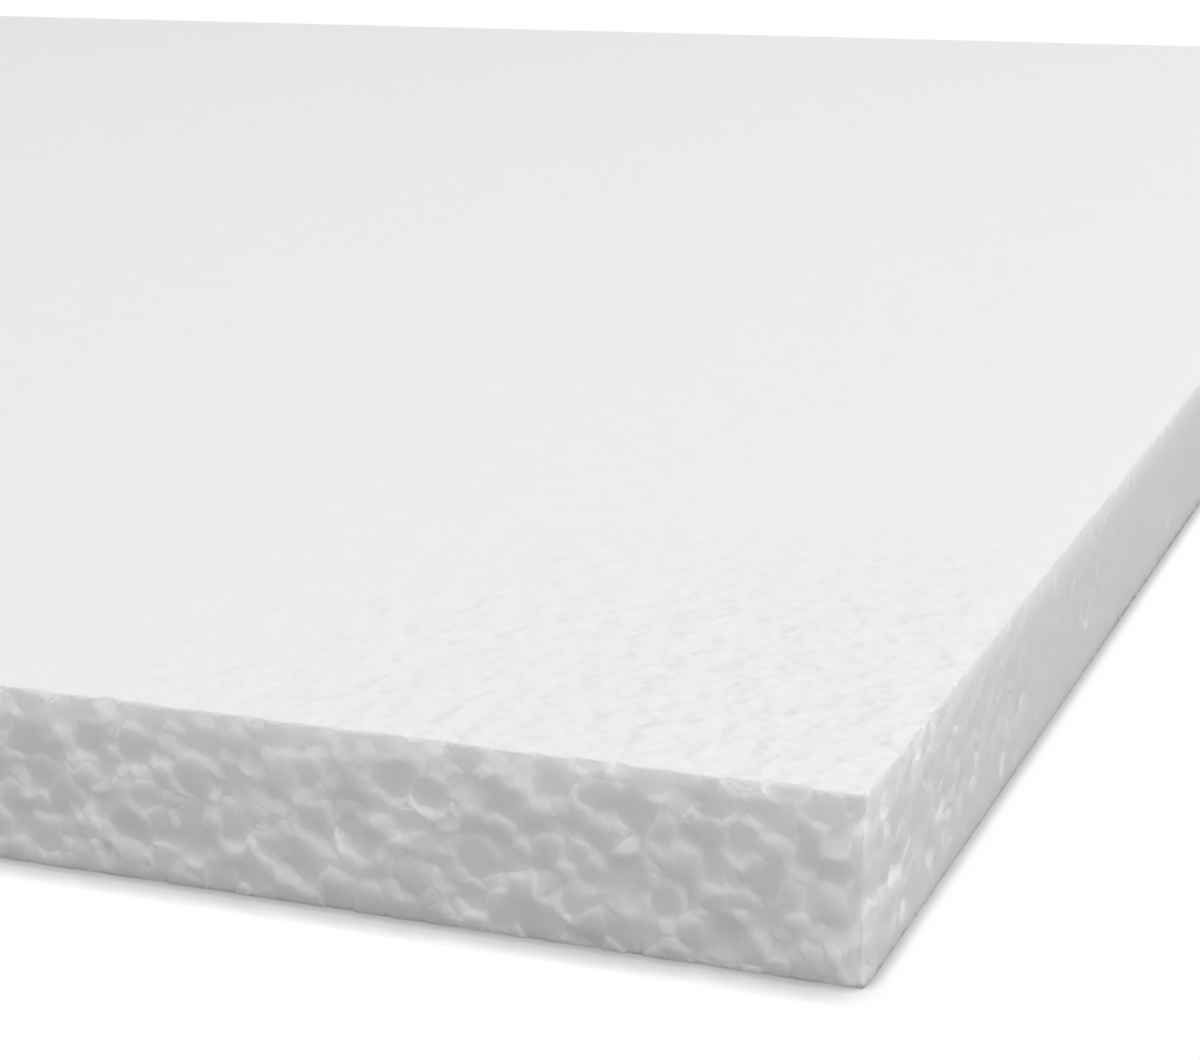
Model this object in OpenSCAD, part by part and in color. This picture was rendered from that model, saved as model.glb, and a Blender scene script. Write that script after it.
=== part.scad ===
/* [Board] */
// Length of the board, along X
board_l = 1200; // [300:10:1400]
// Width of the board, along Y
board_w = 600; // [200:10:900]
// Thickness between the two flat faces
board_t = 20; // [10:1:30]

/* [Cut sides] */
// Distance from one row of beads to the next
bead_pitch = 4.4; // [4:0.1:10]
// Depth of the grooves between beads
groove_depth = 0.6; // [0.1:0.1:1.2]
// Depth of the pit that a torn-out bead leaves
tear_depth = 1.1; // [0.2:0.1:2]
// Share of the beads that are torn out
torn_share = 0.15; // [0:0.05:0.4]
// Share of the beads that lie flush with the cut
flush_share = 0.5; // [0.2:0.05:0.6]
// How far a bead strays from its even place, as a share of the pitch
stray_share = 0.24; // [0:0.02:0.28]

/* [Hidden] */

// Columns of beads and grooves along each side and all the way around
length_columns = round(board_l / bead_pitch);
width_columns = round(board_w / bead_pitch);
around = 2 * (length_columns + width_columns);

// Rows of beads through the thickness, with a row above and below that the flat faces cut away
rows = round(board_t / bead_pitch);
row_h = board_t / rows;
levels = rows + 2;
last_level = levels - 1;

// The four sides in order around the board: front, right, back, left
side_columns = [length_columns, width_columns, length_columns, width_columns];
side_starts = [0, length_columns, length_columns + width_columns, around - width_columns];
side_lengths = [board_l, board_w, board_l, board_w];
side_corners = [[-board_l, -board_w] / 2, [board_l, -board_w] / 2, [board_l, board_w] / 2, [-board_l, board_w] / 2];
side_along = [[1, 0], [0, 1], [-1, 0], [0, -1]];
side_inward = [[0, 1], [-1, 0], [0, -1], [1, 0]];

// Depth ranges, as shares of the groove's or the pit's full depth
groove_least = 0.7;
groove_most = 1.3;
worn_most = 0.6;
pit_least = 0.7;
corner_wear = 0.4;

// Steps of the wave that chance() folds into a share from 0 to 1
spot_step = 78.233;
kind_step = 37.719;
wave_height = 43758.5453;

// A repeatable chance for each spot, with a different one for each kind of choice
function chance(spot, kind) =
    let (wave = wave_height * sin(spot * spot_step + kind * kind_step))
    wave - floor(wave);

function between(low, high, share) = low + (high - low) * share;

// Depth of a bead's middle: flush with the cut, a little worn, or torn out
function bead_depth(spot) =
    let (luck = chance(spot, 0), share = chance(spot, 1))
    luck < torn_share ? tear_depth * between(pit_least, 1, share)
    : luck < torn_share + flush_share ? 0
    : groove_depth * worn_most * share;

function groove_bottom(spot) = groove_depth * between(groove_least, groove_most, chance(spot, 1));

// Beads and grooves alternate along a row and from row to row, so the beads are staggered
function is_bead(column, level) = (column + level) % 2 == 0;

function side_of(column) = max([for (side = [0:3]) if (column >= side_starts[side]) side]);

// One point of the relief: the top of a bead or the bottom of a groove
function relief_point(column, level) =
    let (
        spot = level * around + column,
        side = side_of(column),
        place = column - side_starts[side],
        at_corner = place == 0,
        cut_away = level == 0 || level == last_level,
        shift = at_corner ? 0 : between(-stray_share, stray_share, chance(spot, 2)),
        lift = cut_away ? 0 : between(-stray_share, stray_share, chance(spot, 3)),
        depth = at_corner ? groove_depth * corner_wear * chance(spot, 1)
            : is_bead(column, level) ? bead_depth(spot)
            : groove_bottom(spot),
        inward = at_corner ? side_inward[side] + side_inward[(side + 3) % 4] : side_inward[side],
        run = side_lengths[side] * (place + shift) / side_columns[side],
        plan = side_corners[side] + run * side_along[side] + depth * inward
    )
    [plan.x, plan.y, row_h * (level - 0.5 + lift)];

// A block whose four sides are covered in beads, a row taller than the board at the top and the bottom
module beaded_block() {
    relief = [for (level = [0:last_level]) for (column = [0:around - 1]) relief_point(column, level)];
    low_middle = len(relief);
    high_middle = low_middle + 1;
    middles = [[0, 0, relief[0].z], [0, 0, relief[last_level * around].z]];
    sides = [
        for (level = [0:last_level - 1]) for (column = [0:around - 1])
            let (
                next = (column + 1) % around,
                low = level * around + column,
                low_next = level * around + next,
                high = low + around,
                high_next = low_next + around
            )
            each is_bead(column, level)
                ? [[low, high, low_next], [low_next, high, high_next]]
                : [[low, high, high_next], [low, high_next, low_next]]
    ];
    ends = [
        for (column = [0:around - 1])
            let (
                next = (column + 1) % around,
                top_row = last_level * around
            )
            each [[low_middle, column, next], [high_middle, top_row + next, top_row + column]]
    ];
    polyhedron(concat(relief, middles), concat(sides, ends));
}

// The board is a slice of the block, so its top and bottom are flat and their edges follow the beads
module foam_board() {
    color("whitesmoke")
        intersection() {
            beaded_block();
            translate([-board_l, -board_w, 0])
                cube([2 * board_l, 2 * board_w, board_t]);
        }
}

foam_board();
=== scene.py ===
"""Polystyrene foam board: beaded cut sides, a smooth moulded skin, and the studio it lies in."""

import collections
import itertools
import math
import random

import bmesh
import bpy
import numpy as np
from mathutils import Matrix, Vector, noise


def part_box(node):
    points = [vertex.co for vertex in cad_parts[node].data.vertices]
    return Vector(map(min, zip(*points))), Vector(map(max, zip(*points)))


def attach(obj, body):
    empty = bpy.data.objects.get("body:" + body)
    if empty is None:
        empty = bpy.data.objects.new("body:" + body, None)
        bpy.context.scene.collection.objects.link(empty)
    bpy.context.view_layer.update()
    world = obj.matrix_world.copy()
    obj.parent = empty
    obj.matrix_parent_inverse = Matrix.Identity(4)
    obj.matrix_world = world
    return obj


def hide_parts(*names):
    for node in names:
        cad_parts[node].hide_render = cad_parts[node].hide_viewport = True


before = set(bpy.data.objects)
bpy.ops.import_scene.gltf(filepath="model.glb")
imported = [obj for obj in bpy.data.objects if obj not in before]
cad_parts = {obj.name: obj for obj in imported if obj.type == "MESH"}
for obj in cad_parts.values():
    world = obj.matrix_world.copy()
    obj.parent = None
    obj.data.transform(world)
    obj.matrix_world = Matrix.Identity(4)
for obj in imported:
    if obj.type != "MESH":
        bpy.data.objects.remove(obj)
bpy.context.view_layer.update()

NODE = "foam_board"
PIECE = "beaded_board"
BODY = "root"

# The board's sides in millimetres, as packed. The mesh is shaped in millimetres and made metres last.
MM = 0.001
node_low, node_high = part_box(NODE)
LENGTH, WIDTH, THICKNESS = (round(side / MM, 3) for side in node_high - node_low)
PERIMETER = 2 * (LENGTH + WIDTH)

# How rough the cut is, as a share of the depths further down: on the long sides, on the short sides,
# which are cut more cleanly, and what is added on the way to the photographed corner, within this reach.
LONG_RELIEF = 0.86
SHORT_RELIEF = 0.12
CORNER_RELIEF = 0.24
CORNER_REACH = 70

# The four cut sides, unrolled into one strip that starts at the front's left end.
Side = collections.namedtuple("Side", "start length corner run outward relief")
FRONT = Side(0, LENGTH, (-LENGTH / 2, -WIDTH / 2), (1, 0), (0, -1), LONG_RELIEF)
RIGHT = Side(LENGTH, WIDTH, (LENGTH / 2, -WIDTH / 2), (0, 1), (1, 0), SHORT_RELIEF)
BACK = Side(LENGTH + WIDTH, LENGTH, (LENGTH / 2, WIDTH / 2), (-1, 0), (0, 1), LONG_RELIEF)
LEFT = Side(2 * LENGTH + WIDTH, WIDTH, (-LENGTH / 2, WIDTH / 2), (0, -1), (-1, 0), SHORT_RELIEF)
SIDES = (FRONT, RIGHT, BACK, LEFT)
PHOTO_CORNER = RIGHT.start

# Beads, biggest first: radius, throws for each millimetre of the strip, how close two neighbours may
# come, and whether they are thrown all around or only near the photographed corner.
SEED = 7
BEAD_SIZES = (
    (2.3, 0.35, 0.90, True),
    (1.95, 1.3, 0.90, True),
    (1.6, 2.7, 0.90, True),
    (1.25, 3.7, 0.88, True),
    (0.90, 5.0, 0.86, False),
    (0.62, 6.0, 0.84, False),
)

# The beads are kept on shelves of this length, and each is cut from a square that reaches this far.
SHELF = 10
SQUARE_SIDES, REACH = 4, 14

# Kinds of bead on a cut side: how often it comes up among the kinds of its size, how deep its face lies,
# how far its rim lies below its face, how far its face leans up, and its rings from the outline inwards
# as (share of the outline, share of the way from the seam to the face), near the corner and elsewhere.
Kind = collections.namedtuple("Kind", "share face drop lean fine_rings rings")
FLAT_RINGS = ((0.94, 0.38), (0.85, 0.75), (0.68, 0.97))
DOME_RINGS = ((0.91, 0.34), (0.72, 0.72), (0.40, 0.95))
FLAT_RING = ((0.80, 0.85),)
DOME_RING = ((0.66, 0.76),)
SLICED = Kind(0.44, (0.30, 0.65), (-0.05, 0.05), -0.18, FLAT_RINGS, FLAT_RING)
SUNK = Kind(0.22, (0.55, 0.95), (-0.10, 0.05), -0.14, FLAT_RINGS, FLAT_RING)
WHOLE = Kind(0.26, (0.05, 0.40), (0.20, 0.50), -0.12, DOME_RINGS, DOME_RING)
SOCKET = Kind(0.08, (0.90, 1.40), (-0.70, -0.35), 0.00, DOME_RINGS, DOME_RING)
CHIP = Kind(0.70, (0.10, 0.60), (0.00, 0.30), 0.22, DOME_RINGS, DOME_RING)
PIT = Kind(0.12, (1.00, 1.60), (-0.50, -0.20), 0.00, DOME_RINGS, DOME_RING)

# Beads up to a small radius are chips and pits. The smallest, the crumbs, are rougher than the cut that
# they lie in, this many times, so that they also stand out on a clean one.
BIG_KINDS = (SLICED, SUNK, WHOLE, SOCKET)
SMALL_KINDS = (CHIP, PIT)
SMALL = 1.1
CRUMB, CRUMB_RELIEF = 0.7, 1.9

# Tones of the beads and of the chips between them, from nought for the darkest to one for the lightest. The
# chips' tones lie higher than the beads': a painted highlight for their up-facing facets.
BEAD_TONES = (0.15, 0.65)
CHIP_HIGHLIGHT_TONES = (0.4, 0.9)
MIDDLE_TONE = 0.5

# A bead's face: how far its sides lift or sink by chance, from which share of its mean radius its corners
# are rounded, and how much, how ragged its rings are, the least area that is raised, in square
# millimetres, and how far every point stays inside the cut.
FACE_LIFT = 0.14
ROUND_FROM, ROUNDING = 1.05, 0.60
RAGGED, RAGGED_PITCH = 0.12, 0.9
SMALLEST_RAISED = 0.9
JUST_INSIDE = 0.02

# Seams between beads: the share of them that is fused shut, how deep the others open, how often fused and
# open ones change over the range of tones, the step past which one is sharp, and how nearly equal the
# claims of two beads are where they meet.
FUSED = 0.7
VALLEY = 0.25
LOOSE_WAVES = 7
SHARP_STEP = 0.3
TOUCH = 0.05

# How far the beads' outlines sway from straight, in long and in short waves of these lengths.
LONG_SWAY, LONG_PITCH = 0.60, 2.6
SHORT_SWAY, SHORT_PITCH = 0.22, 1.1

# The edge below the skin: how much of its depth a bead keeps there, how far its shoulder falls below the
# skin, on a torn-out bead and on others, how much farther at seams and where the edge crumbles, how far
# behind the cut the skin begins, and how much farther for each millimetre that the shoulder falls.
EDGE_HOLD = 0.75
SHOULDER = (0.02, 0.18)
CHIPPED_SHOULDER = (0.30, 0.80)
NOTCH = 0.07
CRUMBLE, CRUMBLE_PITCH = 0.80, 1.3
SKIN_SETBACK = 0.12
SHOULDER_LEAN = 0.4

# The edge above the underside: its share of the shoulder's fall, its own setback, and how much of the
# cut's depth is lost there.
UNDERSIDE_SHARE = 0.08
UNDERSIDE_SETBACK = 0.03
UNDERSIDE_HOLD = 0.65

# Corners between the sides: how far they are worn back, and how long the waves of the wear are.
WEAR = (0.05, 0.55)
WEAR_PITCH = 1.6

# What changes at an edge or a corner fades out over this distance from it.
FADE = 2.6

# Near the photographed corner, this far along the front and the right side, seams and edges get more
# points: so many at most, one for each step. Elsewhere only the edges and corners get any.
FINE_FRONT = 115
FINE_RIGHT = 110
FINE_CUTS, FINE_STEP = 3, 0.6
RIM_CUTS, RIM_STEP = 8, 0.4
EDGE_CUTS = 1

# Points closer than this are one point, and edges shorter than a sliver are closed up.
MERGE = 0.02
SLIVER = 0.002

# The camera, from the photographed corner of the skin: its pixel, its distance and the view's turn.
NEAR_CORNER = Vector((node_high.x, node_low.y, node_high.z))
PHOTO_WIDE, PHOTO_HIGH = 1200, 1060
CORNER_PIXEL = (866.9, 796.9)
CORNER_DEPTH = 0.2631
NEAREST_SEEN = CORNER_DEPTH / 10
FOCAL_PIXELS = 2790
SENSOR = 36
AZIMUTH, ELEVATION, ROLL = (math.radians(turn) for turn in (22.04, 16.40, -1.11))

# The foam's finish: colours from dark to light, roughness, bump and seeping light.
CUT_DARK, CUT_LIGHT = (0.843, 0.843, 0.841, 1), (0.923, 0.923, 0.920, 1)
SKIN_DARK, SKIN_LIGHT = (0.903, 0.903, 0.900, 1), (0.927, 0.927, 0.924, 1)
CUT_ROUGH, SKIN_ROUGH, FLECK_ROUGH = 0.75, 0.65, 0.40
CUT_BUMP, CUT_BUMP_DEPTH = 0.2, 0.0002
SKIN_BUMP, SKIN_BUMP_DEPTH = 0.8, 0.0014
FOAM_SHINE = 0.12
CUT_SEEP, SKIN_SEEP, SEEP_DEPTH = 0.65, 0.15, 0.008

# The foam's grain: scales of its cells, flecks and dents for each metre, the heights of the noise between
# which a fleck begins, and the distances from the photographed corner over which the dents flatten out.
CUT_CELLS, CUT_FLECKS = 3000, 600
SKIN_CELLS, SKIN_FLECKS = 3000, 400
SKIN_DENTS = 330
GRAIN_DETAIL = 1
FLECK_FROM, FLECK_FULL = 0.66, 0.72
DENTED_NEAR, DENTED_FAR, FAR_DENTS = 0.03, 0.12, 0.08

# The studio: an even dome of light, one broad soft lamp from the right, and a pale floor.
DOME_LIGHT = 0.615
LAMP_WATTS = 21.15
LAMP_SIDE = 1.6
LAMP_AWAY = 2.2
LAMP_TILT = math.radians(33)
FLOOR_GREY = 0.30
FLOOR_HALF = 8
FLOOR_BELOW = 0.00003

# The floor's shade: how far it reaches from the board, close to it and away from the light, where that
# light comes from, and what is left of the white at its darkest.
CONTACT_REACH = 0.0016
SHADE_REACH = 0.0048
SHADE_FROM = (0.75, 0.5, 0.43)
SHADE_LEAST = 0.36
SHADE_SAMPLES = 4


Bead = collections.namedtuple("Bead", "along height radius kind face rim shoulder slope tone")


def strip_gap(start, end):
    """The way along the strip from start to end, the short way round the board."""
    return (end - start + PERIMETER / 2) % PERIMETER - PERIMETER / 2


def side_at(along):
    """The cut side that holds this place on the strip."""
    return [side for side in SIDES if side.start <= max(0, along)][-1]


def relief_at(along):
    """How rough the cut is at a place on the strip, from nought to one."""
    nearness = max(0, 1 - abs(strip_gap(PHOTO_CORNER, along)) / CORNER_REACH)
    return min(1, side_at(along).relief + CORNER_RELIEF * nearness)


def is_fine(along):
    """Whether a place on the strip is near the photographed corner, where the beads get more points."""
    return -FINE_FRONT < along - PHOTO_CORNER < FINE_RIGHT


def from_edge(along, height):
    """How far a place in the strip lies from the skin, the underside or a corner, whichever is nearest."""
    from_corner = min(abs(strip_gap(side.start, along)) for side in SIDES)
    return min(height, THICKNESS - height, from_corner)


def new_bead(dice, along, height, radius):
    """One bead with its own kind, depth, tilt and tone."""
    kinds = BIG_KINDS if radius > SMALL else SMALL_KINDS
    kind = dice.choices(kinds, [kind.share for kind in kinds])[0]
    hold = EDGE_HOLD if from_edge(along, height) < radius else 1
    hold *= min(1, relief_at(along) * (CRUMB_RELIEF if radius < CRUMB else 1))
    face = -hold * dice.uniform(*kind.face)
    rim = face - hold * dice.uniform(*kind.drop)
    shoulder = relief_at(along) * dice.uniform(*(CHIPPED_SHOULDER if kind is SOCKET else SHOULDER))
    tilt = hold * FACE_LIFT / radius
    slope = (dice.gauss(0, tilt), dice.gauss(-hold * kind.lean, tilt))
    # Chips draw from a lighter range of tones: a painted highlight for their up-facing facets.
    tone = dice.uniform(*(CHIP_HIGHLIGHT_TONES if kind is CHIP else BEAD_TONES))
    return Bead(along, height, radius, kind, face, rim, shoulder, slope, tone)


def throw_beads():
    """Beads of falling size, thrown along the strip wherever there is still room, kept on shelves."""
    dice = random.Random(SEED)
    shelves = [[] for _ in range(int(PERIMETER // SHELF))]
    for radius, throws, closeness, all_around in BEAD_SIZES:
        start, end = (0, PERIMETER) if all_around else (PHOTO_CORNER - FINE_FRONT, PHOTO_CORNER + FINE_RIGHT)
        for _ in range(round(throws * (end - start))):
            along = dice.uniform(start, end)
            height = dice.uniform(-radius / 2, THICKNESS + radius / 2)
            if all(
                math.hypot(strip_gap(along, other.along), other.height - height)
                > (radius + other.radius) * closeness
                for other in around(shelves, along)
            ):
                shelf_of(shelves, along).append(new_bead(dice, along, height, radius))
    return shelves


def shelf_of(shelves, along):
    """The shelf that holds the beads at this place on the strip."""
    return shelves[int(along / PERIMETER * len(shelves)) % len(shelves)]


def around(shelves, along):
    """The beads on the shelf at this place and on the shelves beside it."""
    return [bead for step in (-SHELF, 0, SHELF) for bead in shelf_of(shelves, (along + step) % PERIMETER)]


def split(outline, point, outward, clear_outer=False):
    """Cuts an outline along the line through a point, square to the outward direction."""
    geometry = outline.verts[:] + outline.edges[:] + outline.faces[:]
    bmesh.ops.bisect_plane(outline, geom=geometry, plane_co=point, plane_no=outward, clear_outer=clear_outer)


def trim(outline, point, outward):
    """Cuts away what lies past a point, in the outward direction."""
    split(outline, point, outward, clear_outer=True)


def pressed_outline(bead, along, shelves):
    """What a bead keeps of the strip when its neighbours press against it: a flat face, and who pressed.

    It is cut around the bead's own middle, where the numbers are small, so that neighbours' seams agree.
    """
    outline = bmesh.new()
    bmesh.ops.create_circle(outline, cap_ends=True, segments=SQUARE_SIDES, radius=REACH)
    ways = [
        (Vector((strip_gap(bead.along, other.along), other.height - bead.height, 0)), other)
        for other in around(shelves, bead.along)
        if other is not bead
    ]
    pressers = []
    for way, other in sorted(ways, key=lambda pair: pair[0].length):
        share = (1 + (bead.radius**2 - other.radius**2) / way.length_squared) / 2
        farthest = max(vert.co.length for vert in outline.verts)
        if share * way.length < farthest:
            trim(outline, way * share, way)
            pressers.append(other)
    trim(outline, (0, -bead.height, 0), (0, -1, 0))
    trim(outline, (0, THICKNESS - bead.height, 0), (0, 1, 0))
    trim(outline, (-along, 0, 0), (-1, 0, 0))
    trim(outline, (PERIMETER - along, 0, 0), (1, 0, 0))
    for side in SIDES[1:]:
        split(outline, (side.start - along, 0, 0), (1, 0, 0))
    bmesh.ops.translate(outline, verts=outline.verts, vec=(along, bead.height, 0))
    return outline, pressers


def pull(bead, place):
    """How strongly a bead claims a place in the strip, less being stronger."""
    return strip_gap(bead.along, place.x) ** 2 + (place.y - bead.height) ** 2 - bead.radius**2


def meeting(place, beads):
    """Those of the beads that meet at a place in the strip."""
    strongest = min(pull(bead, place) for bead in beads)
    return [bead for bead in beads if pull(bead, place) - strongest < TOUCH]


def level(bead, depth, place):
    """A depth on a bead, carried to a place along the lean of its face."""
    across = strip_gap(bead.along, place.x)
    return depth + bead.slope[0] * across + bead.slope[1] * (place.y - bead.height)


def valley(one, other, relief):
    """How deep the seam between two beads opens, nothing where they are fused."""
    looseness = (one.tone + other.tone) * LOOSE_WAVES % 1 - FUSED
    return relief * VALLEY * max(0, looseness) / (1 - FUSED)


def seam_depth(place, owners):
    """How deep the surface lies where these beads meet: at the lowest of them if they are far apart."""
    if len(owners) == 1:
        depth = level(owners[0], max(owners[0].rim, owners[0].face), place)
    else:
        levels = [level(bead, bead.rim, place) for bead in owners]
        sharp = max(levels) - min(levels) > SHARP_STEP
        relief = min(relief_at(bead.along) for bead in owners)
        depth = min(levels) if sharp else sum(levels) / len(levels)
        depth -= max(valley(one, other, relief) for one, other in itertools.combinations(owners, 2))
    return min(depth, -JUST_INSIDE)


def at_corner(along):
    """Whether a place on the strip lies on a corner between two sides."""
    return any(abs(along - line) < MERGE for line in (*(side.start for side in SIDES), PERIMETER))


def at_rim(height):
    """Whether a height is that of the strip's upper or lower border."""
    return height < MERGE or height > THICKNESS - MERGE


def seam_cuts(edge):
    """How many points an outline's edge gets between its ends, the same for both beads that share it."""
    start, end = (vert.co for vert in edge.verts)
    middle = (start + end) / 2
    rim = at_rim(start.y) and at_rim(end.y)
    corner = at_corner(start.x) and at_corner(end.x)
    if is_fine(middle.x):
        most, step = (RIM_CUTS, RIM_STEP) if rim else (FINE_CUTS, FINE_STEP)
        return min(most, int((end - start).length / step))
    return EDGE_CUTS if rim or corner else 0


def raise_bead(outline, face, bead, seat, depths, rings):
    """Steps a bead's face in from its seams, ring by ring, and closes it with one middle point."""
    centre = face.calc_center_median_weighted()
    around_length = sum(edge.calc_length() for edge in face.edges)
    round_radius = 2 * face.calc_area() / around_length * ROUND_FROM
    tilt = Vector((*bead.slope, 0))
    kept = 1
    for share, rise in rings:
        bmesh.ops.inset_individual(outline, faces=[face], thickness=0)
        for vert, seam in zip(face.verts, depths):
            out = (vert.co - centre) * (share / kept)
            out.z = 0
            past_round = max(0, out.length - round_radius * share)
            out *= 1 - ROUNDING * past_round / out.length
            out *= 1 - RAGGED * abs(noise.noise(vert.co / RAGGED_PITCH))
            plane = bead.face + tilt.dot(centre + out - seat)
            vert.co = centre + out
            vert.co.z = min(seam + (plane - seam) * rise, -JUST_INSIDE)
        kept = share
    for middle in bmesh.ops.poke(outline, faces=[face])["verts"]:
        middle.co = (centre.x, centre.y, min(bead.face + tilt.dot(centre - seat), -JUST_INSIDE))


def raised_outline(bead, along, shelves):
    """One bead in the strip, with its outline still flush and its face raised or hollowed."""
    outline, pressers = pressed_outline(bead, along, shelves)
    wanted = collections.defaultdict(list)
    for edge in outline.edges:
        wanted[seam_cuts(edge)].append(edge)
    for cuts in sorted(wanted):
        if cuts:
            bmesh.ops.bisect_edges(outline, edges=wanted[cuts], cuts=cuts)
    seat = Vector((along, bead.height, 0))
    rings = bead.kind.fine_rings if is_fine(along) else bead.kind.rings
    for face in outline.faces[:]:
        if face.calc_area() > SMALLEST_RAISED:
            depths = [seam_depth(vert.co, meeting(vert.co, [bead, *pressers])) for vert in face.verts]
            raise_bead(outline, face, bead, seat, depths, rings)
    return outline


def bead_strip(beads, shelves):
    """All beads side by side in one strip, each face marked with its bead's number."""
    strip = bmesh.new()
    owners = []
    patch = bpy.data.meshes.new("patch")
    for number, bead in enumerate(beads):
        for turn in (-PERIMETER, 0, PERIMETER):
            along = bead.along + turn
            if -SHELF < along < PERIMETER + SHELF:
                outline = raised_outline(bead, along, shelves)
                owners += [number] * len(outline.faces)
                outline.to_mesh(patch)
                outline.free()
                strip.from_mesh(patch)
    bpy.data.meshes.remove(patch)
    bead_number = strip.faces.layers.int.new("bead_number")
    for face, owner in zip(strip.faces, owners):
        face[bead_number] = owner
    seams = [vert for vert in strip.verts if vert.co.z == 0]
    bmesh.ops.remove_doubles(strip, verts=seams, dist=MERGE)
    return strip


def on_board(side, local, height, depth):
    """A place on a cut side as a point on the board."""
    x = side.corner[0] + side.run[0] * local + side.outward[0] * depth
    y = side.corner[1] + side.run[1] * local + side.outward[1] * depth
    return Vector((x, y, height))


def flat_place(along, height):
    """A place in the strip as a point on the board, were its sides flat."""
    side = side_at(along)
    return on_board(side, along - side.start, height, 0)


def wear(corner, side, height):
    """How far a corner is worn into one of its two sides at a height."""
    wave = noise.noise((corner.start, side.start, height / WEAR_PITCH))
    return WEAR[0] + (WEAR[1] - WEAR[0]) * (1 + wave) / 2


def corner_depths(strip):
    """For the corner at which each side starts, rows of heights and of how deep the beads lie there."""
    places = [[] for _ in SIDES]
    for vert in strip.verts:
        if at_corner(vert.co.x):
            index = SIDES.index(side_at((vert.co.x + MERGE) % PERIMETER))
            places[index].append((vert.co.y, -vert.co.z))
    return [np.array(sorted(rows)).transpose() for rows in places]


def worn_place(along, height, depth, depths):
    """A place in the strip as a point on the board, with the corners worn round and wavy."""
    side = side_at(along)
    index = SIDES.index(side)
    next_index = (index + 1) % len(SIDES)
    before, after = SIDES[index - 1], SIDES[next_index]
    local = along - side.start
    near_start = max(0, 1 - local / FADE)
    near_end = max(0, 1 - (side.length - local) / FADE)
    depth -= wear(side, side, height) * near_start**2 + wear(after, side, height) * near_end**2
    local += near_start * (wear(side, before, height) + np.interp(height, *depths[index]))
    local -= near_end * (wear(after, after, height) + np.interp(height, *depths[next_index]))
    return on_board(side, local, height, depth)


def sink_seams(strip, shelves):
    """Sinks the seams between beads, and says how far the shoulders fall along the strip's two borders."""
    lowered = {0: [], THICKNESS: []}
    for vert in strip.verts:
        if vert.co.z < 0:
            continue
        along, height, _ = vert.co
        owners = meeting(vert.co, around(shelves, along % PERIMETER))
        vert.co.z = seam_depth(vert.co, owners)
        if at_rim(height):
            drop = max(bead.shoulder for bead in owners) + NOTCH * (len(owners) - 1)
            drop += CRUMBLE * max(0, noise.noise(flat_place(along, height) / CRUMBLE_PITCH))
            line = 0 if height < THICKNESS / 2 else THICKNESS
            lowered[line].append((along, drop if line else drop * UNDERSIDE_SHARE))
    return lowered


def sway_beads(strip):
    """Lets the beads' outlines sway from straight, less and less towards the board's edges."""
    noise.seed_set(SEED)
    for vert in strip.verts:
        along, height, _ = vert.co
        place = flat_place(along, height)
        sway = noise.noise_vector(place / LONG_PITCH) * LONG_SWAY
        sway += noise.noise_vector(place / SHORT_PITCH) * SHORT_SWAY
        sway *= min(1, from_edge(along, height) / FADE)
        vert.co.x += sway.x
        vert.co.y += sway.z


def pull_from_rims(strip, lowered):
    """Pulls both borders in as far as the shoulders fall, and evens the cut near the lower one."""
    rows = {line: np.array(sorted(places)) for line, places in lowered.items()}
    for vert in strip.verts:
        along, height, _ = vert.co
        above = np.interp(along, rows[THICKNESS][:, 0], rows[THICKNESS][:, 1])
        below = np.interp(along, rows[0][:, 0], rows[0][:, 1])
        near_floor = max(0, 1 - height / FADE)
        vert.co.y -= above * max(0, 1 - (THICKNESS - height) / FADE)
        vert.co.y += below * near_floor
        vert.co.z *= 1 - UNDERSIDE_HOLD * near_floor


def rim_edges(strip, line):
    """The edges along the strip's upper or lower border."""
    border = [edge for edge in strip.edges if edge.is_boundary]
    near = [edge for edge in border if not all(at_corner(vert.co.x) for vert in edge.verts)]
    return [edge for edge in near if abs(edge.verts[0].co.y - line) < THICKNESS / 2]


def extrude_to_skin(strip, line, setback):
    """Leans the shoulders in from the cut side to the flat skin, or to the underside."""
    extruded = bmesh.ops.extrude_edge_only(strip, edges=rim_edges(strip, line))
    for vert in extruded["geom"]:
        if isinstance(vert, bmesh.types.BMVert):
            vert.co.z -= setback + SHOULDER_LEAN * abs(line - vert.co.y)
            vert.co.y = line


def wrap(strip):
    """Folds the strip round the board and joins its two ends."""
    ends = [vert for vert in strip.verts if abs(strip_gap(0, vert.co.x)) < MERGE]
    depths = corner_depths(strip)
    for vert in strip.verts:
        vert.co = worn_place(*vert.co, depths)
    bmesh.ops.remove_doubles(strip, verts=ends, dist=MERGE)


def tint_beads(strip, beads):
    """Gives every face its bead's tone, with the chips' painted highlight, nearer the middle one where the
    cut is cleaner.
    """
    bead_number = strip.faces.layers.int["bead_number"]
    tone = strip.faces.layers.float.new("bead_tone_and_chip_highlight")
    for face in strip.faces:
        face.smooth = True
        bead = beads[face[bead_number]]
        face[tone] = MIDDLE_TONE + (bead.tone - MIDDLE_TONE) * math.sqrt(relief_at(bead.along))


def close_skin(strip, line):
    """Fills the flat skin or underside inside its border."""
    border = [edge for edge in strip.edges if edge.is_boundary and abs(edge.verts[0].co.z - line) < MERGE]
    (face,) = bmesh.ops.edgeloop_fill(strip, edges=border)["faces"]
    face.material_index = 1
    face.smooth = False
    for edge in face.edges:
        edge.smooth = False


def put_in_scene(name, shape):
    """A finished shape as an object in the scene."""
    mesh = bpy.data.meshes.new(name)
    shape.to_mesh(mesh)
    shape.free()
    made = bpy.data.objects.new(name, mesh)
    bpy.context.scene.collection.objects.link(made)
    return made


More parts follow.
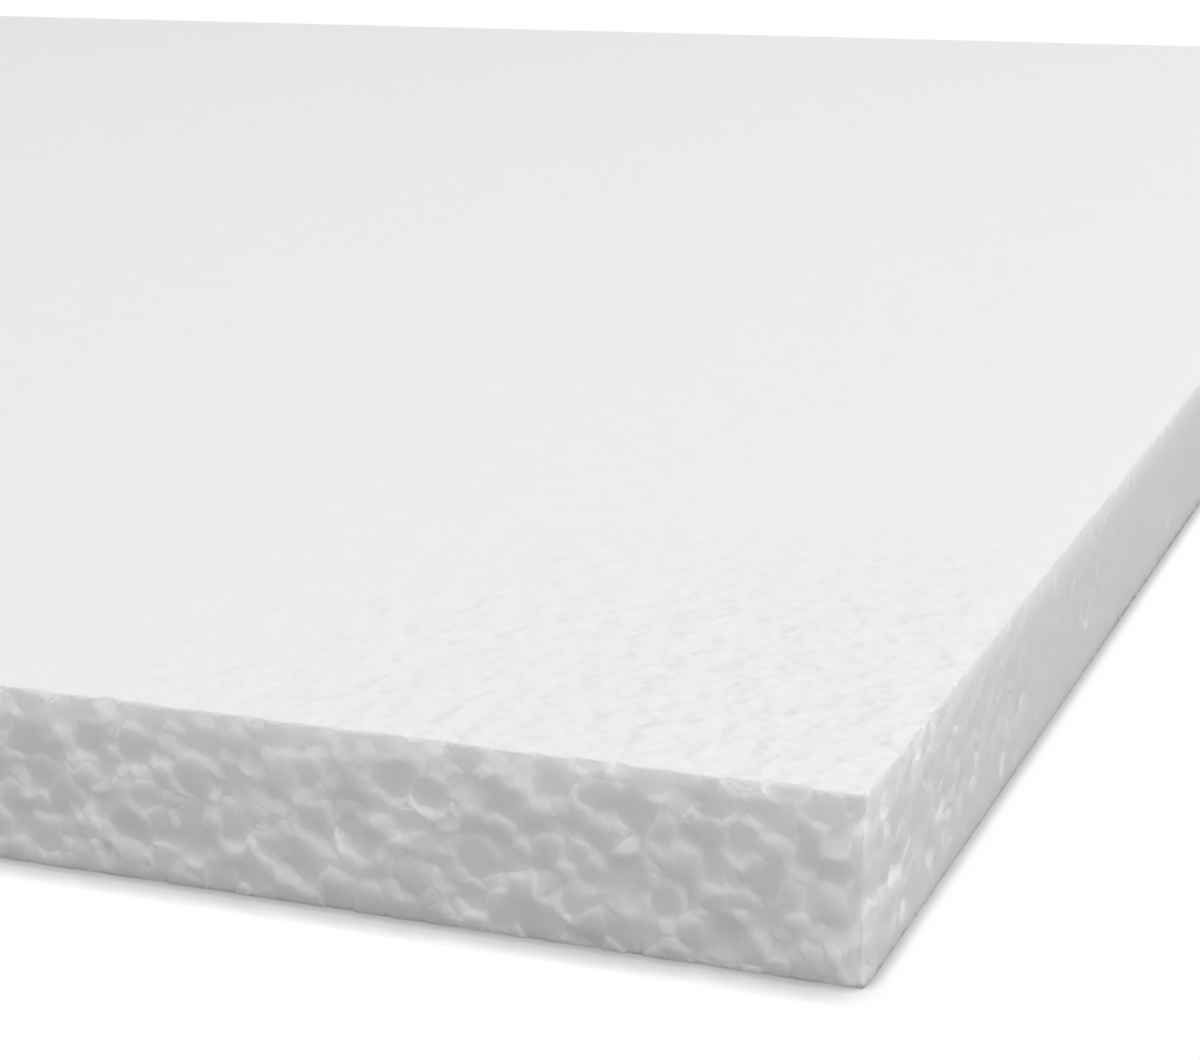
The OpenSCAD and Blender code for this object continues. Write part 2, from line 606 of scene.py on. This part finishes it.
def beaded_board():
    """The whole board as one closed mesh: four beaded cut sides between the skin and the underside."""
    shelves = throw_beads()
    beads = [bead for shelf in shelves for bead in shelf]
    strip = bead_strip(beads, shelves)
    lowered = sink_seams(strip, shelves)
    sway_beads(strip)
    pull_from_rims(strip, lowered)
    extrude_to_skin(strip, THICKNESS, SKIN_SETBACK)
    extrude_to_skin(strip, 0, UNDERSIDE_SETBACK)
    wrap(strip)
    tint_beads(strip, beads)
    close_skin(strip, THICKNESS)
    close_skin(strip, 0)
    bmesh.ops.dissolve_degenerate(strip, dist=SLIVER, edges=strip.edges)
    bmesh.ops.recalc_face_normals(strip, faces=strip.faces)
    bmesh.ops.scale(strip, vec=(MM, MM, MM), verts=strip.verts)
    return put_in_scene(PIECE, strip)


def add_node(tree, kind, **settings):
    """A new node in a tree, with its settings."""
    made = tree.nodes.new(kind)
    for name, value in settings.items():
        setattr(made, name, value)
    return made


def new_material(name):
    """An empty material: its node tree, its shader and the Object coordinates."""
    material = bpy.data.materials.new(name)
    material.use_nodes = True
    tree = material.node_tree
    shader = tree.nodes["Principled BSDF"]
    coordinates = add_node(tree, "ShaderNodeTexCoord")
    return material, tree, shader, coordinates.outputs["Object"]


def cell_grain_group():
    """The fine closed cells of the foam: a bump height and a scatter of broken, shinier cells."""
    group = bpy.data.node_groups.new("cell_grain", "ShaderNodeTree")
    group.interface.new_socket("Vector", in_out="INPUT", socket_type="NodeSocketVector")
    group.interface.new_socket("Cell scale", in_out="INPUT", socket_type="NodeSocketFloat")
    group.interface.new_socket("Fleck scale", in_out="INPUT", socket_type="NodeSocketFloat")
    group.interface.new_socket("Height", in_out="OUTPUT", socket_type="NodeSocketFloat")
    group.interface.new_socket("Flecks", in_out="OUTPUT", socket_type="NodeSocketFloat")
    given = add_node(group, "NodeGroupInput")
    result = add_node(group, "NodeGroupOutput")
    cells = add_node(group, "ShaderNodeTexNoise")
    cells.inputs["Detail"].default_value = GRAIN_DETAIL
    flecks = add_node(group, "ShaderNodeTexNoise")
    flecks.inputs["Detail"].default_value = GRAIN_DETAIL
    sieve = add_node(group, "ShaderNodeMapRange", interpolation_type="SMOOTHSTEP")
    sieve.inputs["From Min"].default_value = FLECK_FROM
    sieve.inputs["From Max"].default_value = FLECK_FULL
    group.links.new(given.outputs["Vector"], cells.inputs["Vector"])
    group.links.new(given.outputs["Cell scale"], cells.inputs["Scale"])
    group.links.new(given.outputs["Vector"], flecks.inputs["Vector"])
    group.links.new(given.outputs["Fleck scale"], flecks.inputs["Scale"])
    group.links.new(flecks.outputs["Fac"], sieve.inputs["Value"])
    group.links.new(cells.outputs["Fac"], result.inputs["Height"])
    group.links.new(sieve.outputs["Result"], result.inputs["Flecks"])
    return group


def grain(tree, group, vector, cell_scale, fleck_scale):
    """The shared cell grain, placed in a material at its own scales."""
    placed = add_node(tree, "ShaderNodeGroup", node_tree=group)
    placed.inputs["Cell scale"].default_value = cell_scale
    placed.inputs["Fleck scale"].default_value = fleck_scale
    tree.links.new(vector, placed.inputs["Vector"])
    return placed


def remapped(tree, source, start, end):
    """A value from nought to one, stretched between a start and an end."""
    stretch = add_node(tree, "ShaderNodeMapRange")
    stretch.inputs["To Min"].default_value = start
    stretch.inputs["To Max"].default_value = end
    tree.links.new(source, stretch.inputs["Value"])
    return stretch.outputs["Result"]


def combined(tree, operation, one, other):
    """Two values, made one by a sum, a product or the like."""
    made = add_node(tree, "ShaderNodeMath", operation=operation)
    tree.links.new(one, made.inputs[0])
    tree.links.new(other, made.inputs[1])
    return made.outputs["Value"]


def ramp(tree, source, dark, light):
    """A colour between a dark and a light one."""
    colours = add_node(tree, "ShaderNodeValToRGB")
    colours.color_ramp.elements[0].color = dark
    colours.color_ramp.elements[1].color = light
    tree.links.new(source, colours.inputs["Fac"])
    return colours.outputs["Color"]


def bumped(tree, shader, height, strength, distance):
    """Fine relief on a surface, from a height that changes over it."""
    bump = add_node(tree, "ShaderNodeBump")
    bump.inputs["Strength"].default_value = strength
    bump.inputs["Distance"].default_value = distance
    tree.links.new(height, bump.inputs["Height"])
    tree.links.new(bump.outputs["Normal"], shader.inputs["Normal"])


def foam_look(shader, seep):
    """What every surface of the foam shares: chalky, with light that seeps some way in."""
    shader.subsurface_method = "BURLEY"
    shader.inputs["Specular IOR Level"].default_value = FOAM_SHINE
    shader.inputs["Subsurface Weight"].default_value = seep
    shader.inputs["Subsurface Radius"].default_value = (1, 1, 1)
    shader.inputs["Subsurface Scale"].default_value = SEEP_DEPTH


def cut_foam(group):
    """The cut sides: beads of slightly different tone, chips painted lighter as a painted highlight, a fine
    cell grain and a few shiny broken cells.
    """
    material, tree, shader, place = new_material("cut_foam")
    foam_look(shader, CUT_SEEP)
    tone = add_node(tree, "ShaderNodeAttribute", attribute_name="bead_tone_and_chip_highlight")
    tree.links.new(ramp(tree, tone.outputs["Fac"], CUT_DARK, CUT_LIGHT), shader.inputs["Base Color"])
    cells = grain(tree, group, place, CUT_CELLS, CUT_FLECKS)
    roughness = remapped(tree, cells.outputs["Flecks"], CUT_ROUGH, FLECK_ROUGH)
    tree.links.new(roughness, shader.inputs["Roughness"])
    bumped(tree, shader, cells.outputs["Height"], CUT_BUMP, CUT_BUMP_DEPTH)
    return material


def near_corner(tree, place):
    """One near the photographed corner, falling to a small share away from it."""
    away = add_node(tree, "ShaderNodeVectorMath", operation="DISTANCE")
    away.inputs[1].default_value = NEAR_CORNER
    tree.links.new(place, away.inputs[0])
    fall = add_node(tree, "ShaderNodeMapRange", interpolation_type="SMOOTHSTEP")
    fall.inputs["From Min"].default_value = DENTED_NEAR
    fall.inputs["From Max"].default_value = DENTED_FAR
    fall.inputs["To Min"].default_value = 1
    fall.inputs["To Max"].default_value = FAR_DENTS
    tree.links.new(away.outputs["Value"], fall.inputs["Value"])
    return fall.outputs["Result"]


def moulded_skin(group):
    """The skin: almost even, with shallow dents that are deepest near the photographed corner."""
    material, tree, shader, place = new_material("moulded_skin")
    foam_look(shader, SKIN_SEEP)
    dents = add_node(tree, "ShaderNodeTexNoise")
    dents.inputs["Scale"].default_value = SKIN_DENTS
    dents.inputs["Detail"].default_value = GRAIN_DETAIL
    tree.links.new(place, dents.inputs["Vector"])
    tree.links.new(ramp(tree, dents.outputs["Fac"], SKIN_DARK, SKIN_LIGHT), shader.inputs["Base Color"])
    dented = combined(tree, "MULTIPLY", dents.outputs["Fac"], near_corner(tree, place))
    cells = grain(tree, group, place, SKIN_CELLS, SKIN_FLECKS)
    roughness = remapped(tree, cells.outputs["Flecks"], SKIN_ROUGH, FLECK_ROUGH)
    tree.links.new(roughness, shader.inputs["Roughness"])
    bumped(tree, shader, dented, SKIN_BUMP, SKIN_BUMP_DEPTH)
    return material


def seen_directly(tree):
    """One for rays that see the background straight, in a mirror or through glass, else nothing."""
    path = add_node(tree, "ShaderNodeLightPath")
    mirrored = combined(tree, "MAXIMUM", path.outputs["Is Camera Ray"], path.outputs["Is Glossy Ray"])
    return combined(tree, "MAXIMUM", mirrored, path.outputs["Is Transmission Ray"])


def floor_shade(tree):
    """The floor's white, darker where the board touches it and where the board keeps the light away."""
    contact = add_node(tree, "ShaderNodeAmbientOcclusion", samples=SHADE_SAMPLES)
    contact.inputs["Distance"].default_value = CONTACT_REACH
    side_light = add_node(tree, "ShaderNodeCombineXYZ")
    for socket, value in zip(side_light.inputs, SHADE_FROM):
        socket.default_value = value
    shade = add_node(tree, "ShaderNodeAmbientOcclusion", samples=SHADE_SAMPLES)
    shade.inputs["Distance"].default_value = SHADE_REACH
    tree.links.new(side_light.outputs["Vector"], shade.inputs["Normal"])
    tree.links.new(contact.outputs["Color"], shade.inputs["Color"])
    deepened = combined(tree, "MULTIPLY", shade.outputs["Color"], shade.outputs["Color"])
    return remapped(tree, deepened, SHADE_LEAST, 1)


def white_floor():
    """A matte grey that lights the board from below, and is white to the camera where nothing shades it."""
    material = bpy.data.materials.new("floor_white")
    material.use_nodes = True
    tree = material.node_tree
    tree.nodes.remove(tree.nodes["Principled BSDF"])
    matte = add_node(tree, "ShaderNodeBsdfDiffuse")
    matte.inputs["Color"].default_value = (FLOOR_GREY, FLOOR_GREY, FLOOR_GREY, 1)
    white = add_node(tree, "ShaderNodeEmission")
    tree.links.new(floor_shade(tree), white.inputs["Color"])
    mix = add_node(tree, "ShaderNodeMixShader")
    tree.links.new(seen_directly(tree), mix.inputs["Fac"])
    tree.links.new(matte.outputs["BSDF"], mix.inputs[1])
    tree.links.new(white.outputs["Emission"], mix.inputs[2])
    tree.links.new(mix.outputs["Shader"], tree.nodes["Material Output"].inputs["Surface"])
    return material


def studio_floor():
    """A wide pale floor, just below the board."""
    sheet = bmesh.new()
    bmesh.ops.create_grid(sheet, x_segments=1, y_segments=1, size=FLOOR_HALF)
    bmesh.ops.translate(sheet, verts=sheet.verts, vec=(0, 0, -FLOOR_BELOW))
    floor = put_in_scene("floor", sheet)
    floor.data.materials.append(white_floor())


def studio_light():
    """An even dome that is white behind the board, and one broad lamp to the right."""
    world = bpy.data.worlds.new("studio")
    bpy.context.scene.world = world
    world.use_nodes = True
    tree = world.node_tree
    dome = tree.nodes["Background"]
    dome.inputs["Color"].default_value = (DOME_LIGHT, DOME_LIGHT, DOME_LIGHT, 1)
    white = add_node(tree, "ShaderNodeBackground")
    white.inputs["Color"].default_value = (1, 1, 1, 1)
    mix = add_node(tree, "ShaderNodeMixShader")
    tree.links.new(seen_directly(tree), mix.inputs["Fac"])
    tree.links.new(dome.outputs["Background"], mix.inputs[1])
    tree.links.new(white.outputs["Background"], mix.inputs[2])
    tree.links.new(mix.outputs["Shader"], tree.nodes["World Output"].inputs["Surface"])
    light = bpy.data.lights.new("soft_lamp", "AREA")
    light.energy = LAMP_WATTS
    light.size = LAMP_SIDE
    lamp = bpy.data.objects.new("soft_lamp", light)
    lamp.location = NEAR_CORNER + Vector((math.sin(LAMP_TILT), 0, math.cos(LAMP_TILT))) * LAMP_AWAY
    lamp.rotation_euler = (0, LAMP_TILT, 0)
    bpy.context.scene.collection.objects.link(lamp)


def photo_camera():
    """The camera, placed so that the board's near skin corner falls on its pixel at its distance."""
    back = Vector((
        math.sin(AZIMUTH) * math.cos(ELEVATION),
        -math.cos(AZIMUTH) * math.cos(ELEVATION),
        math.sin(ELEVATION),
    ))
    level_right = Vector((0, 0, 1)).cross(back).normalized()
    level_up = back.cross(level_right)
    right = level_right * math.cos(ROLL) + level_up * math.sin(ROLL)
    up = level_up * math.cos(ROLL) - level_right * math.sin(ROLL)
    across = (CORNER_PIXEL[0] - PHOTO_WIDE / 2) / FOCAL_PIXELS
    down = (CORNER_PIXEL[1] - PHOTO_HIGH / 2) / FOCAL_PIXELS
    place = NEAR_CORNER - (right * across - up * down - back) * CORNER_DEPTH
    data = bpy.data.cameras.new("photo_camera")
    data.sensor_width = SENSOR
    data.lens = SENSOR * FOCAL_PIXELS / PHOTO_WIDE
    data.clip_start = NEAREST_SEEN
    camera = bpy.data.objects.new("photo_camera", data)
    turn = Matrix((right, up, back)).transposed()
    camera.matrix_world = Matrix.Translation(place) @ turn.to_4x4()
    bpy.context.scene.collection.objects.link(camera)
    bpy.context.scene.camera = camera


photo_camera()
studio_floor()
studio_light()
bpy.context.scene.view_settings.view_transform = "Standard"

board = beaded_board()
grain_group = cell_grain_group()
board.data.materials.append(cut_foam(grain_group))
board.data.materials.append(moulded_skin(grain_group))
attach(board, BODY)
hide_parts(NODE)
